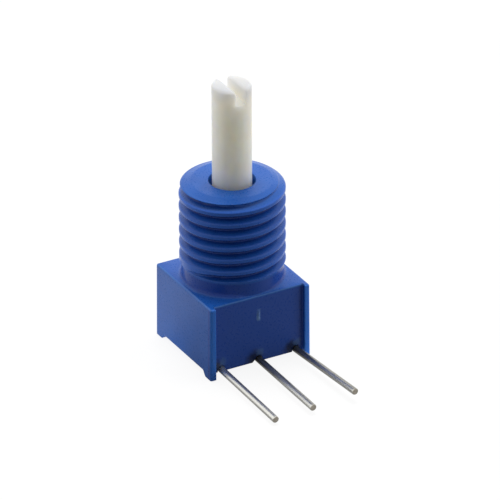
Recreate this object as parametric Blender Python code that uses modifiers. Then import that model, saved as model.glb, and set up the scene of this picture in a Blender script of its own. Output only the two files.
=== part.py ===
# Single-turn potentiometer: a moulded case with an integral threaded bushing, a slotted
# plastic shaft and three straight pins that leave the front of the case.
# Metres, +Z up the shaft. The origin is on the shaft's axis, in the plane of the rear seal.

import math

import bmesh
import bpy
from mathutils import Matrix, Vector

MM = 0.001

# Pins
PIN_PITCH = 2.54 * MM
PIN_RADIUS = 0.21 * MM
PIN_REACH = 6.35 * MM             # beyond the front of the side walls
PIN_AXIS_HEIGHT = 0.15 * MM       # above the lower edge of the case walls
PIN_BEND_RADIUS = 0.25 * MM
PIN_PROTRUSION = 0.40 * MM        # above the substrate
# The pins of the one in hand are slightly bent: how far each free end stands off in x and z
PIN_TIP_SHIFTS = {1: (0.0, -0.15 * MM), 2: (0.0, -0.05 * MM), 3: (0.30 * MM, 0.24 * MM)}
PIN_CLEARANCE = 0.03 * MM

# Element: a ceramic plate with printed films, and the pins soldered to its pads
PAD_RADIUS = 0.33 * MM
PAD_SIDE_MARGIN = 0.14 * MM       # from a pad to the side of the pocket
PAD_TRACK_GAP = 0.02 * MM
PAD_HOLE_CLEARANCE = 0.04 * MM
SUBSTRATE_THICKNESS = 0.635 * MM
SUBSTRATE_LIFT = 0.04 * MM        # above the pins that run under it
SUBSTRATE_MARGIN = 0.02 * MM      # from a pad to the substrate's front edge
SUBSTRATE_CLEARANCE = 0.03 * MM
FILM_THICKNESS = 0.05 * MM
FILM_GAP = 0.02 * MM
TRACK_SETBACK = 0.40 * MM         # from the rotor's rim to the track's outer edge
TRACK_WIDTH = 0.50 * MM
TRACK_SPACING = 0.25 * MM
TRACK_ANGLE = math.radians(280)
COLLECTOR_WIDTH = 0.40 * MM
STRIP_WIDTH = 0.40 * MM
SOLDER_HEIGHT = 0.26 * MM
SOLDER_TOP_WALL = 0.03 * MM
SOLDER_PAD_MARGIN = 0.03 * MM
SOLDER_HEADROOM = 0.10 * MM

# Shaft, rotor and their seal
SHAFT_RADIUS = 1.19 * MM
SHAFT_REACH = 12.70 * MM          # from the case's top face to the shaft's end
SHAFT_EDGE = 0.20 * MM
SLOT_WIDTH = 0.67 * MM
SLOT_DEPTH = 0.95 * MM
JOURNAL_STEP = 0.17 * MM          # the journal is this much larger in radius
JOURNAL_CLEARANCE = 0.05 * MM
MOUTH_DEPTH = 1.15 * MM           # from the bushing's end down to the journal
SEAL_SECTION = 0.43 * MM
SEAL_CLEARANCE = 0.02 * MM
SEAL_SIDE_CLEARANCE = 0.10 * MM
SEAL_DROP = 2.40 * MM             # from the bushing's end down to the seal
ROTOR_RADIUS = 2.50 * MM
ROTOR_THICKNESS = 1.50 * MM
ROTOR_GAP = 0.825 * MM            # from the substrate up to the rotor
ROTOR_SIDE_CLEARANCE = 0.10 * MM
ROTOR_TOP_CLEARANCE = 0.05 * MM
BOSS_LENGTH = 0.30 * MM           # of the boss that carries the wiper

# Stop: a lug on the rotor runs in a groove in the case's roof
TRAVEL = math.radians(270)
LUG_ANGLE = math.radians(24)
STOP_CLEARANCE = math.radians(1)
LUG_SETBACK = 0.30 * MM
LUG_WIDTH = 0.40 * MM
LUG_HEIGHT = 0.50 * MM
LUG_ROOT = 0.50 * MM              # of the lug's foot inside the rotor
LUG_CLEARANCE = 0.05 * MM

# Wiper, a bent sheet
WIPER_THICKNESS = 0.08 * MM
WIPER_GAP = 0.02 * MM
WIPER_CONTACT_GAP = 0.02 * MM
WIPER_SLIT = 0.10 * MM
WIPER_HUB_MARGIN = 0.05 * MM      # from the hub to the finger on the collector
WIPER_HUB_WIDTH = 0.28 * MM
WIPER_SECTORS = 60                # around a full turn of the flat pattern
WIPER_LOW_POINT = 0.9             # share of an arm's length at which it is lowest
WIPER_TAB_ANGLE = math.radians(12)
WIPER_ARM_ANGLE = math.radians(72)

# Case
SIDE_WALL = 0.39 * MM
PANEL_THICKNESS = 0.34 * MM
PANEL_RECESS = 0.26 * MM          # the front panel lies this far behind the side walls
BACK_WALL = 0.40 * MM
ROOF_THICKNESS = 1.05 * MM
DRAFT = math.radians(0.4)
CASE_EDGE = 0.12 * MM
FOOT_HEIGHT = 0.34 * MM
FOOT_LENGTH = 1.00 * MM
FOOT_TAPER = 0.30 * MM
RELIEF_INSET = 0.02 * MM          # of the space over the solder, from the pocket's sides

# Bushing and its thread
BUSHING_LENGTH = 6.35 * MM
BUSHING_RADIUS = 3.15 * MM
BUSHING_ROOT = 0.10 * MM          # depth of the bushing blank inside the roof
NECK_RELIEF = 0.03 * MM           # the plain neck is this much smaller in radius than the thread
NECK_FOOT = 0.04 * MM             # the neck flares by this much where it meets the case
BUSHING_FLAT_RADIUS = 2.45 * MM
BUSHING_SLOPE_DROP = 0.16 * MM
BUSHING_SHOULDER = 0.20 * MM      # radius step over which the crown turns down
BUSHING_SHOULDER_DROP = 0.28 * MM
THREAD_PITCH = 25.4 / 32 * MM
THREAD_DEPTH = 0.42 * MM
THREAD_ROOT_WIDTH = 0.10 * MM
THREAD_FLANK = math.radians(30)
THREAD_START_HEIGHT = 0.96 * MM   # of the groove's lower end above the case
THREAD_START_ANGLE = math.radians(-185)
THREAD_RUNOUT = math.radians(45)
THREAD_CUT_MARGIN = 0.10 * MM     # of the cutter outside the crests
THREAD_LEAD_IN = 0.05 * MM        # of the cutter's first section outside the bushing

STEPS = 40                        # around a full turn
SEAL_STEPS = 10                   # around the seal's section
WIRE_STEPS = 4                    # bevel resolution of the pins
OVERSHOOT = 0.60 * MM             # cutters pass the face that they cut by this much
WELD = 0.0005 * MM                # points closer than this are one

# Places that follow from the sizes above, from the film element outwards
track_outer = ROTOR_RADIUS - TRACK_SETBACK
track_inner = track_outer - TRACK_WIDTH
collector_outer = track_inner - TRACK_SPACING
collector_inner = collector_outer - COLLECTOR_WIDTH
hub_outer = collector_inner - WIPER_HUB_MARGIN
hub_inner = hub_outer - WIPER_HUB_WIDTH
boss_radius = hub_inner - WIPER_GAP
pin_row = -(track_outer + PAD_TRACK_GAP + PAD_RADIUS)
pocket_front = pin_row - PAD_RADIUS - SUBSTRATE_MARGIN - SUBSTRATE_CLEARANCE
pocket_half_width = PIN_PITCH + PAD_RADIUS + PAD_SIDE_MARGIN
panel_front = pocket_front - PANEL_THICKNESS
case_front = panel_front - PANEL_RECESS
case_back = -case_front
pocket_back = case_back - BACK_WALL
case_half_width = pocket_half_width + SIDE_WALL

pin_top = PIN_AXIS_HEIGHT + PIN_RADIUS
substrate_bottom = pin_top + SUBSTRATE_LIFT
substrate_top = substrate_bottom + SUBSTRATE_THICKNESS
film_bottom = substrate_top + FILM_GAP
film_top = film_bottom + FILM_THICKNESS
rotor_bottom = substrate_top + ROTOR_GAP
rotor_top = rotor_bottom + ROTOR_THICKNESS
chamber_top = rotor_top + ROTOR_TOP_CLEARANCE
case_top = chamber_top + ROOF_THICKNESS
bushing_top = case_top + BUSHING_LENGTH
shaft_top = case_top + SHAFT_REACH
journal_radius = SHAFT_RADIUS + JOURNAL_STEP
bore_radius = journal_radius + JOURNAL_CLEARANCE
journal_top = bushing_top - MOUTH_DEPTH
seal_height = bushing_top - SEAL_DROP


def make_collection(name):
    collection = bpy.data.collections.new(name)
    bpy.context.scene.collection.children.link(collection)
    return collection


def make_material(name, colour, roughness, metallic=0.0):
    material = bpy.data.materials.new(name)
    material.use_nodes = True
    shader = material.node_tree.nodes["Principled BSDF"]
    shader.inputs["Base Color"].default_value = (*colour, 1.0)
    shader.inputs["Roughness"].default_value = roughness
    shader.inputs["Metallic"].default_value = metallic
    material.diffuse_color = (*colour, 1.0)
    return material


def add_part(name, mesh, material, parent=None):
    """Links a mesh to the part collection; a parent keeps it where it was modelled."""
    part = bpy.data.objects.new(name, mesh)
    parts.objects.link(part)
    mesh.materials.append(material)
    if parent:
        part.parent = parent
        part.matrix_parent_inverse = parent.matrix_world.inverted()
    return part


def add_cutter(name, mesh):
    cutter = bpy.data.objects.new(name, mesh)
    cutters.objects.link(cutter)
    cutter.hide_render = True
    cutter.display_type = "WIRE"
    return cutter


def mesh_from(name, bm):
    mesh = bpy.data.meshes.new(name)
    bm.to_mesh(mesh)
    bm.free()
    return mesh


def box(name, low, high):
    """A cuboid between two corners."""
    bm = bmesh.new()
    bmesh.ops.create_cube(bm, size=1.0)
    size = [b - a for a, b in zip(low, high)]
    centre = [(a + b) / 2 for a, b in zip(low, high)]
    bmesh.ops.transform(bm, matrix=Matrix.LocRotScale(centre, None, size), verts=bm.verts)
    return mesh_from(name, bm)


def rod(name, radius, low, high, centre=(0.0, 0.0)):
    """An upright cylinder from one height to another."""
    bm = bmesh.new()
    bmesh.ops.create_cone(bm, cap_ends=True, segments=STEPS, radius1=radius, radius2=radius,
                          depth=high - low)
    bmesh.ops.translate(bm, vec=(*centre, (low + high) / 2), verts=bm.verts)
    return mesh_from(name, bm)


def circle(centre, radius, steps=STEPS):
    return arc(centre, radius, 0.0, math.tau * (steps - 1) / steps, steps)


def arc(centre, radius, start, end, count):
    """Points along an arc, its two ends included."""
    angles = [start + (end - start) * k / (count - 1) for k in range(count)]
    return [(centre[0] + radius * math.cos(a), centre[1] + radius * math.sin(a)) for a in angles]


def arc_steps(angle):
    return max(3, round(STEPS * abs(angle) / math.tau)) + 1


def ring_sector(inner, outer, start, end):
    """The outline of a piece of a flat ring."""
    count = arc_steps(end - start)
    return arc((0.0, 0.0), outer, start, end, count) + arc((0.0, 0.0), inner, end, start, count)


def plate(name, outlines, low, high):
    """A flat plate between two heights: the first outline is its edge, the others are holes."""
    curve = bpy.data.curves.new(name, "CURVE")
    curve.dimensions = "2D"
    curve.fill_mode = "BOTH"
    curve.extrude = (high - low) / 2
    for outline in outlines:
        spline = curve.splines.new("POLY")
        spline.points.add(len(outline) - 1)
        for point, (x, y) in zip(spline.points, outline):
            point.co = (x, y, 0.0, 1.0)
        spline.use_cyclic_u = True
    return solid_from_curve(name, curve, (low + high) / 2)


def solid_from_curve(name, curve, lift=0.0):
    """Turns a curve into a welded mesh and removes the curve."""
    guide = bpy.data.objects.new(name, curve)
    parts.objects.link(guide)
    mesh = bpy.data.meshes.new_from_object(guide.evaluated_get(bpy.context.evaluated_depsgraph_get()))
    bpy.data.objects.remove(guide)
    bm = bmesh.new()
    bm.from_mesh(mesh)
    bmesh.ops.remove_doubles(bm, verts=bm.verts, dist=WELD)
    bmesh.ops.translate(bm, vec=(0.0, 0.0, lift), verts=bm.verts)
    bmesh.ops.recalc_face_normals(bm, faces=bm.faces)
    bpy.data.meshes.remove(mesh)
    return mesh_from(name, bm)


def wire(name, points, radius):
    """A round wire along a path, with flat ends."""
    curve = bpy.data.curves.new(name, "CURVE")
    curve.dimensions = "3D"
    curve.bevel_depth = radius
    curve.bevel_resolution = WIRE_STEPS
    curve.use_fill_caps = True
    spline = curve.splines.new("POLY")
    spline.points.add(len(points) - 1)
    for point, place in zip(spline.points, points):
        point.co = (*place, 1.0)
    return solid_from_curve(name, curve)


def profile_mesh(name, points, closed):
    """A profile in the XZ plane, for a Screw modifier."""
    mesh = bpy.data.meshes.new(name)
    edges = [(k, k + 1) for k in range(len(points) - 1)]
    if closed:
        edges.append((len(points) - 1, 0))
    mesh.from_pydata([(x, 0.0, z) for x, z in points], edges, [])
    return mesh


def turn(part):
    """Revolves a profile about the part's own Z axis."""
    screw = part.modifiers.new("turned", "SCREW")
    screw.axis = "Z"
    screw.steps = screw.render_steps = STEPS
    screw.use_merge_vertices = True
    screw.merge_threshold = WELD
    screw.use_smooth_shade = False


def boolean(part, cutter, operation="DIFFERENCE"):
    modifier = part.modifiers.new(cutter.name, "BOOLEAN")
    modifier.object = cutter
    modifier.operation = operation
    modifier.solver = "EXACT"


def smooth(part, angle=math.radians(35)):
    """Smooth shading between faces that meet at less than the angle."""
    part.data.shade_smooth()
    part.data.set_sharp_from_angle(angle=angle)


def case_block():
    """The case's outer block, drafted on three sides, with every edge rounded but the lower ones."""
    low, high = -FOOT_HEIGHT, case_top
    inset = (high - low) * math.tan(DRAFT)
    bm = bmesh.new()
    bmesh.ops.create_cube(bm, size=1.0)
    for vert in bm.verts:
        upper = vert.co.z > 0
        x = math.copysign(case_half_width - inset * upper, vert.co.x)
        y = case_back - inset * upper if vert.co.y > 0 else case_front
        vert.co = (x, y, high if upper else low)
    edges = [edge for edge in bm.edges if any(vert.co.z > 0 for vert in edge.verts)]
    bmesh.ops.bevel(bm, geom=edges, offset=CASE_EDGE, segments=3, profile=0.5, affect="EDGES")
    return mesh_from("case_block", bm)


def bushing_profile():
    """Half section of the bushing blank: a flat end, a shallow crown and a turned-down rim."""
    rim = BUSHING_RADIUS - BUSHING_SHOULDER
    slope_end = bushing_top - BUSHING_SLOPE_DROP
    points = [(0.0, bushing_top), (BUSHING_FLAT_RADIUS, bushing_top)]
    for k in range(4):
        turn_angle = math.pi / 2 * k / 3
        points.append((rim + BUSHING_SHOULDER * math.sin(turn_angle),
                       slope_end - BUSHING_SHOULDER_DROP * (1 - math.cos(turn_angle))))
    neck_radius = BUSHING_RADIUS - NECK_RELIEF
    neck_top = case_top + THREAD_START_HEIGHT
    foot_radius = neck_radius + NECK_FOOT
    points += [(BUSHING_RADIUS, neck_top), (neck_radius, neck_top - NECK_RELIEF),
               (neck_radius, case_top + NECK_FOOT), (foot_radius, case_top),
               (foot_radius, case_top - BUSHING_ROOT), (0.0, case_top - BUSHING_ROOT)]
    return points


def thread_groove():
    """The solid that the thread's groove removes: a trapezium carried up a helix.

    Over the run-out at its lower end the trapezium starts outside the bushing and sinks in
    to full depth, so the groove fades out as a moulded thread's does.
    """
    outer = BUSHING_RADIUS + THREAD_CUT_MARGIN
    rise = bushing_top - case_top - THREAD_START_HEIGHT + THREAD_PITCH
    count = math.ceil(rise / THREAD_PITCH * STEPS)
    bm = bmesh.new()
    rings = []
    for k in range(count + 1):
        angle = math.tau * k / STEPS
        height = case_top + THREAD_START_HEIGHT + THREAD_PITCH * angle / math.tau
        sink = min(1.0, angle / THREAD_RUNOUT)
        root = BUSHING_RADIUS - THREAD_DEPTH * sink + THREAD_LEAD_IN * (1 - sink)
        half_root = THREAD_ROOT_WIDTH / 2
        half_outer = half_root + (outer - root) * math.tan(THREAD_FLANK)
        turned = Matrix.Rotation(THREAD_START_ANGLE + angle, 3, "Z")
        section = [(root, -half_root), (outer, -half_outer), (outer, half_outer), (root, half_root)]
        rings.append([bm.verts.new(turned @ Vector((r, 0.0, height + z))) for r, z in section])
    for ring, following in zip(rings, rings[1:]):
        for a in range(4):
            b = (a + 1) % 4
            bm.faces.new((ring[a], ring[b], following[b], following[a]))
    bm.faces.new(rings[0])
    bm.faces.new(reversed(rings[-1]))
    bmesh.ops.recalc_face_normals(bm, faces=bm.faces)
    return mesh_from("thread_groove", bm)


def foot_gap():
    """The gap under a side wall between its two feet, wider at the bottom, right across the case."""
    half = (case_back - case_front) / 2 - FOOT_LENGTH
    deep = FOOT_HEIGHT + OVERSHOOT
    spread = FOOT_TAPER * deep / FOOT_HEIGHT
    outline = [(-half, 0.0), (half, 0.0), (half + spread, -deep), (-half - spread, -deep)]
    across = case_half_width + OVERSHOOT
    mesh = plate("foot_gap", [outline], -across, across)
    mesh.transform(Matrix.Rotation(math.pi / 2, 4, "Z") @ Matrix.Rotation(math.pi / 2, 4, "X"))
    return mesh


def pin_path(number, reach, shift=(0.0, 0.0)):
    """From the free end, straight in under the substrate, then up through its hole."""
    x = (number - 2) * PIN_PITCH
    points = [(x + shift[0], panel_front - reach, PIN_AXIS_HEIGHT + shift[1]),
              (x, panel_front, PIN_AXIS_HEIGHT)]
    for k in range(5):
        angle = math.pi / 2 * k / 4
        points.append((x, pin_row - PIN_BEND_RADIUS * (1 - math.sin(angle)),
                       PIN_AXIS_HEIGHT + PIN_BEND_RADIUS * (1 - math.cos(angle))))
    points.append((x, pin_row, substrate_top + PIN_PROTRUSION))
    return points


def stop_groove():
    """The groove that the lug runs in; what is left of the ring at the back is the stop."""
    outer = ROTOR_RADIUS - LUG_SETBACK + LUG_CLEARANCE
    inner = ROTOR_RADIUS - LUG_SETBACK - LUG_WIDTH - LUG_CLEARANCE
    swept = TRAVEL / 2 + LUG_ANGLE / 2 + STOP_CLEARANCE
    middle = -math.pi / 2
    outline = ring_sector(inner, outer, middle - swept, middle + swept)
    groove_top = rotor_top + LUG_HEIGHT + LUG_CLEARANCE
    return plate("stop_groove", [outline], chamber_top - OVERSHOOT, groove_top)


def make_housing():
    """Case and bushing in one moulding, open underneath."""
    housing = add_part("housing", case_block(), blue)
    below = -FOOT_HEIGHT - OVERSHOOT
    recess = box("panel_recess", (-pocket_half_width, case_front - OVERSHOOT, below),
                 (pocket_half_width, panel_front, case_top + OVERSHOOT))
    boolean(housing, add_cutter("panel_recess", recess))
    blank = profile_mesh("bushing_blank", bushing_profile(), closed=False)
    bushing = add_cutter("bushing_blank", blank)
    turn(bushing)
    boolean(housing, bushing, "UNION")
    chamber_radius = ROTOR_RADIUS + ROTOR_SIDE_CLEARANCE
    relief_top = substrate_top + PIN_PROTRUSION + SOLDER_HEADROOM
    relief_half_width = pocket_half_width - RELIEF_INSET
    cuts = [
        thread_groove(),
        foot_gap(),
        box("wall_ends", (-pocket_half_width, case_front - OVERSHOOT, below),
            (pocket_half_width, case_back + OVERSHOOT, 0.0)),
        box("element_pocket", (-pocket_half_width, pocket_front, below),
            (pocket_half_width, pocket_back, film_bottom)),
        rod("rotor_chamber", chamber_radius, below, chamber_top),
        box("solder_relief", (-relief_half_width, pocket_front + RELIEF_INSET, below),
            (relief_half_width, -track_inner, relief_top)),
        stop_groove(),
        rod("shaft_bore", bore_radius, below, bushing_top + OVERSHOOT),
    ]
    for number in PIN_TIP_SHIFTS:
        path = pin_path(number, PANEL_RECESS + OVERSHOOT)
        cuts.append(wire(f"pin_notch_{number}", path, PIN_RADIUS + PIN_CLEARANCE))
    for mesh in cuts:
        boolean(housing, add_cutter(mesh.name, mesh))


def make_shaft(axis):
    """Shaft, journal and rotor in one moulding, with the stop lug and the screwdriver slot."""
    seat = bore_radius - SEAL_SECTION - 2 * SEAL_CLEARANCE
    half_groove = SEAL_SECTION / 2 + SEAL_SIDE_CLEARANCE
    corner = SHAFT_EDGE
    profile = [(0.0, shaft_top)]
    for k in range(4):
        angle = math.pi / 2 * k / 3
        profile.append((SHAFT_RADIUS - corner * (1 - math.sin(angle)),
                        shaft_top - corner * (1 - math.cos(angle))))
    profile += [
        (SHAFT_RADIUS, journal_top), (journal_radius, journal_top - JOURNAL_STEP),
        (journal_radius, seal_height + half_groove), (seat, seal_height + half_groove),
        (seat, seal_height - half_groove), (journal_radius, seal_height - half_groove),
        (journal_radius, rotor_top), (ROTOR_RADIUS, rotor_top), (ROTOR_RADIUS, rotor_bottom),
        (boss_radius, rotor_bottom), (boss_radius, rotor_bottom - BOSS_LENGTH),
        (0.0, rotor_bottom - BOSS_LENGTH),
    ]
    shaft = add_part("shaft", profile_mesh("shaft", profile, closed=False), ivory, axis)
    turn(shaft)
    lug_outer = ROTOR_RADIUS - LUG_SETBACK
    middle = -math.pi / 2
    outline = ring_sector(lug_outer - LUG_WIDTH, lug_outer,
                          middle - LUG_ANGLE / 2, middle + LUG_ANGLE / 2)
    lug = plate("stop_lug", [outline], rotor_top - LUG_ROOT, rotor_top + LUG_HEIGHT)
    boolean(shaft, add_cutter("stop_lug", lug), "UNION")
    across = SHAFT_RADIUS + OVERSHOOT
    slot = box("screwdriver_slot", (-SLOT_WIDTH / 2, -across, shaft_top - SLOT_DEPTH),
               (SLOT_WIDTH / 2, across, shaft_top + OVERSHOOT))
    boolean(shaft, add_cutter("screwdriver_slot", slot))


def make_seal(axis):
    """O-ring between the journal and the bore."""
    section = SEAL_SECTION / 2
    centre = bore_radius - SEAL_CLEARANCE - section
    bpy.ops.mesh.primitive_torus_add(major_segments=STEPS, minor_segments=SEAL_STEPS,
                                     major_radius=centre, minor_radius=section)
    seal = bpy.context.object
    seal.name = seal.data.name = "shaft_seal"
    for collection in list(seal.users_collection):
        collection.objects.unlink(seal)
    parts.objects.link(seal)
    seal.data.materials.append(rubber)
    seal.location.z = seal_height
    seal.parent = axis
    seal.matrix_parent_inverse = axis.matrix_world.inverted()
    smooth(seal)


def make_wiper(axis):
    """Spring contact: a hub ring, two arms down to the track and one down to the collector.

    The sheet is a polar grid whose cells are kept where the flat pattern has metal. Along an
    arm the height falls with a cosine and turns up again at the tip, as a bent finger does.
    """
    middle = (track_inner + track_outer) / 2
    radii = [hub_inner, hub_outer, collector_inner, collector_outer,
             track_inner, middle - WIPER_SLIT / 2, middle + WIPER_SLIT / 2, track_outer]
    cell = math.tau / WIPER_SECTORS
    hub_height = rotor_bottom - WIPER_GAP - WIPER_THICKNESS / 2
    drop = hub_height - (film_top + WIPER_CONTACT_GAP + WIPER_THICKNESS / 2)
    tips = {"track": math.pi / 2, "collector": math.pi * 3 / 2}
    tab_sectors = round(WIPER_TAB_ANGLE / cell)
    arm_sectors = round(WIPER_ARM_ANGLE / cell)
    wanted = {}
    for band in range(len(radii) - 1):
        for sector in range(WIPER_SECTORS):
            wanted[band, sector] = band == 0
    for arm, tip in tips.items():
        last = round(tip / cell)
        reach = (1, 2) if arm == "collector" else (1, 2, 3, 4, 5, 6)
        fingers = (2,) if arm == "collector" else (4, 6)
        for k in range(1, tab_sectors + 1):
            for band in reach:
                wanted[band, (last - arm_sectors - k) % WIPER_SECTORS] = True
        for k in range(arm_sectors):
            for band in fingers:
                wanted[band, (last - arm_sectors + k) % WIPER_SECTORS] = True

    def height(band_edge, sector_edge):
        if band_edge < 2:
            return hub_height
        for arm, tip in tips.items():
            inner_arm = arm == "collector"
            if inner_arm != (band_edge < 4):
                continue
            along = ((sector_edge - round(tip / cell) + arm_sectors) % WIPER_SECTORS) / arm_sectors
            if along > 1:
                continue
            if along < WIPER_LOW_POINT:
                return hub_height - drop * (1 - math.cos(math.pi * along / WIPER_LOW_POINT)) / 2
            return hub_height - drop * (1 - (along - WIPER_LOW_POINT))
        return hub_height

    bm = bmesh.new()
    verts = {}

    def vert(band_edge, sector_edge):
        key = (band_edge, sector_edge % WIPER_SECTORS)
        if key not in verts:
            angle = cell * sector_edge
            r = radii[band_edge]
            verts[key] = bm.verts.new((r * math.cos(angle), r * math.sin(angle), height(*key)))
        return verts[key]

    for (band, sector), metal in wanted.items():
        if metal:
            bm.faces.new((vert(band, sector), vert(band + 1, sector),
                          vert(band + 1, sector + 1), vert(band, sector + 1)))
    wiper = add_part("wiper", mesh_from("wiper", bm), spring_metal, axis)
    thicken = wiper.modifiers.new("sheet", "SOLIDIFY")
    thicken.thickness = WIPER_THICKNESS
    thicken.offset = 0.0


def pocket_filler(name, low, high):
    """A plate that fills the element pocket with its clearance all round."""
    half_width = pocket_half_width - SUBSTRATE_CLEARANCE
    return box(name, (-half_width, pocket_front + SUBSTRATE_CLEARANCE, low),
               (half_width, pocket_back - SUBSTRATE_CLEARANCE, high))


def make_substrate():
    """The ceramic plate, with a hole for each pin."""
    plate_mesh = pocket_filler("element_substrate", substrate_bottom, substrate_top)
    substrate = add_part("element_substrate", plate_mesh, ceramic)
    for number in PIN_TIP_SHIFTS:
        centre = ((number - 2) * PIN_PITCH, pin_row)
        hole = rod(f"substrate_hole_{number}", PIN_RADIUS + PAD_HOLE_CLEARANCE,
                   substrate_bottom - OVERSHOOT, substrate_top + OVERSHOOT, centre)
        boolean(substrate, add_cutter(hole.name, hole))


def make_films():
    """The printed films: the resistive track, the collector and a termination at each track end."""
    half = TRACK_ANGLE / 2
    track = ring_sector(track_inner, track_outer, math.pi / 2 - half, math.pi / 2 + half)
    add_part("resistive_track", plate("resistive_track", [track], film_bottom, film_top), carbon)

    hole_radius = PIN_RADIUS + PAD_HOLE_CLEARANCE
    strip = STRIP_WIDTH / 2
    ring_gap = math.asin(strip / collector_outer)
    pad_gap = math.asin(strip / PAD_RADIUS)
    up = math.pi / 2
    keyhole = arc((0.0, 0.0), collector_outer, ring_gap - up, math.tau - up - ring_gap, STEPS)
    keyhole += arc((0.0, pin_row), PAD_RADIUS, up + pad_gap, up + math.tau - pad_gap, STEPS // 2)
    openings = [circle((0.0, 0.0), collector_inner), circle((0.0, pin_row), hole_radius, STEPS // 2)]
    collector = plate("collector_track", [keyhole, *openings], film_bottom, film_top)
    add_part("collector_track", collector, silver)

    end_angle = math.pi / 2 - half - FILM_GAP / track_inner
    end = Vector((math.cos(end_angle), math.sin(end_angle)))
    near, far = track_inner * end, track_outer * end
    for number, side in ((1, -1), (3, 1)):
        pad = Vector((PIN_PITCH, pin_row))
        toward = pad - (near + far) / 2
        heading = math.atan2(toward.y, toward.x)
        rounded = arc(pad, PAD_RADIUS, heading - math.pi / 2, heading + math.pi / 2, STEPS // 2)
        edge = [tuple(far), *rounded, tuple(near)]
        outlines = [edge, circle(pad, hole_radius, STEPS // 2)]
        mirrored = [[(side * x, y) for x, y in outline] for outline in outlines]
        name = f"termination_{number}"
        add_part(name, plate(name, mirrored, film_bottom, film_top), silver)


def make_terminals():
    """The three pins and the solder that holds each one in its pad."""
    solder_bottom = film_top + FILM_GAP
    solder_top = solder_bottom + SOLDER_HEIGHT
    inner = PIN_RADIUS + FILM_GAP
    top_radius = inner + SOLDER_TOP_WALL
    foot_radius = PAD_RADIUS - SOLDER_PAD_MARGIN
    for number, shift in PIN_TIP_SHIFTS.items():
        path = pin_path(number, PANEL_RECESS + PIN_REACH, shift)
        name = f"terminal_{number}"
        smooth(add_part(name, wire(name, path, PIN_RADIUS), tinned))
        profile = [(inner, solder_top)]
        for k in range(5):
            angle = math.pi / 2 * k / 4
            profile.append((foot_radius - (foot_radius - top_radius) * math.cos(angle),
                            solder_bottom + SOLDER_HEIGHT * (1 - math.sin(angle))))
        profile.append((inner, solder_bottom))
        name = f"solder_{number}"
        solder = add_part(name, profile_mesh(name, profile, closed=True), solder_metal)
        solder.location = ((number - 2) * PIN_PITCH, pin_row, 0.0)
        turn(solder)


def make_rear_seal():
    """The potting that closes the case round the pins, level with the walls' lower edges."""
    seal = add_part("rear_seal", pocket_filler("rear_seal", 0.0, pin_top), potting)
    for number in PIN_TIP_SHIFTS:
        path = pin_path(number, PANEL_RECESS)
        groove = wire(f"seal_groove_{number}", path, PIN_RADIUS + PIN_CLEARANCE)
        boolean(seal, add_cutter(groove.name, groove))


for existing in list(bpy.data.objects):
    bpy.data.objects.remove(existing, do_unlink=True)

parts = make_collection("potentiometer")
cutters = make_collection("cutters")
blue = make_material("blue_moulding", (0.035, 0.12, 0.42), 0.35)
ivory = make_material("ivory_moulding", (0.72, 0.69, 0.60), 0.45)
rubber = make_material("seal_rubber", (0.02, 0.02, 0.02), 0.7)
spring_metal = make_material("wiper_metal", (0.80, 0.68, 0.42), 0.3, 1.0)
ceramic = make_material("ceramic", (0.85, 0.84, 0.80), 0.6)
carbon = make_material("resistive_film", (0.02, 0.02, 0.022), 0.5)
silver = make_material("conductor_film", (0.75, 0.74, 0.72), 0.4, 1.0)
tinned = make_material("tinned_wire", (0.70, 0.70, 0.70), 0.2, 1.0)
solder_metal = make_material("solder", (0.60, 0.60, 0.62), 0.3, 1.0)
potting = make_material("potting_resin", (0.03, 0.08, 0.25), 0.5)

shaft_axis = bpy.data.objects.new("shaft_axis", None)
parts.objects.link(shaft_axis)
shaft_axis.location = (0.0, 0.0, case_top)
bpy.context.view_layer.update()

make_housing()
make_shaft(shaft_axis)
make_seal(shaft_axis)
make_wiper(shaft_axis)
make_substrate()
make_films()
make_terminals()
make_rear_seal()
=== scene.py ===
import math

import bmesh
import bpy
import numpy as np
from mathutils import Matrix, Vector


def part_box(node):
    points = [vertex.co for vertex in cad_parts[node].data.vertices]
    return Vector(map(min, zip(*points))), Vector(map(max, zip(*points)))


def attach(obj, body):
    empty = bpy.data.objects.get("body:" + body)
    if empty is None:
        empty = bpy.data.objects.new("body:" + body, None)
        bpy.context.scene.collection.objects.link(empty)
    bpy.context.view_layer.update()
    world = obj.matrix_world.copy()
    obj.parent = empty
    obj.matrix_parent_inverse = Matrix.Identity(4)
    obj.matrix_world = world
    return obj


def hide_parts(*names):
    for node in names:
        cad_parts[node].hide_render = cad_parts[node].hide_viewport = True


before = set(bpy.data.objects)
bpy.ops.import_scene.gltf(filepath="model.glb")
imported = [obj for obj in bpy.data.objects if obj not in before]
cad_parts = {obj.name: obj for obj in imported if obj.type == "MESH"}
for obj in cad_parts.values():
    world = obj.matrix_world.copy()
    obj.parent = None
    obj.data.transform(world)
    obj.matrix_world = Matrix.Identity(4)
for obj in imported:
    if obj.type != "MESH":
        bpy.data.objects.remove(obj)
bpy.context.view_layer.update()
mm = 0.001
print("frame loaded:", ", ".join(sorted(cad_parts)))


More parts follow.
